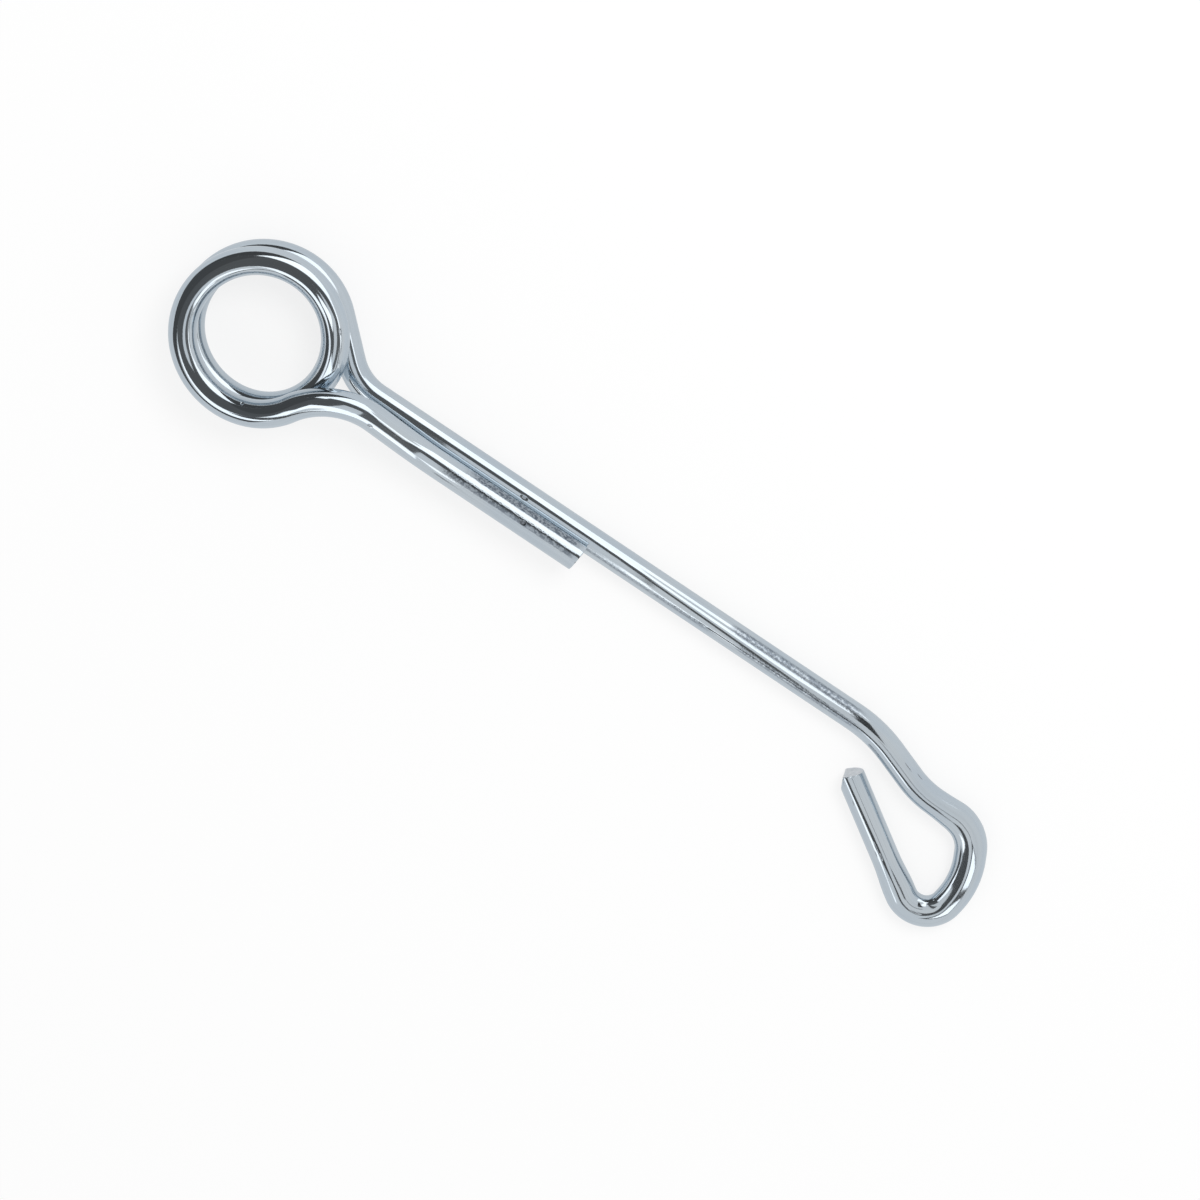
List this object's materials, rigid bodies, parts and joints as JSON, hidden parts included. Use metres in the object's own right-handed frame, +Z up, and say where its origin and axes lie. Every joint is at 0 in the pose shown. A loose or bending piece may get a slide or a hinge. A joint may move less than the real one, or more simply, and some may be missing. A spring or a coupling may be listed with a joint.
{
  "type": "wire hook clasp",
  "caption": "Hook of bright zinc-plated wire: a wound round eye with a doubled tail at one end, a straight shank, and a bent-back closed hook that snaps over a ring or rod.",
  "frame": {"origin": "on the axis of the eye, at the table that the hook lies on", "axes": "+X along the shank from the eye to the hook, +Z up along the axis of the eye, +Y to the side away from the hook's leg"},
  "size_m": [0.1392, 0.0336, 0.0119],
  "materials": {
    "zinc_wire": "bright blue-white zinc plate on drawn steel wire"
  },
  "bodies": {
    "root": {"wire_hook": "zinc_wire"}
  },
  "joints": []
}
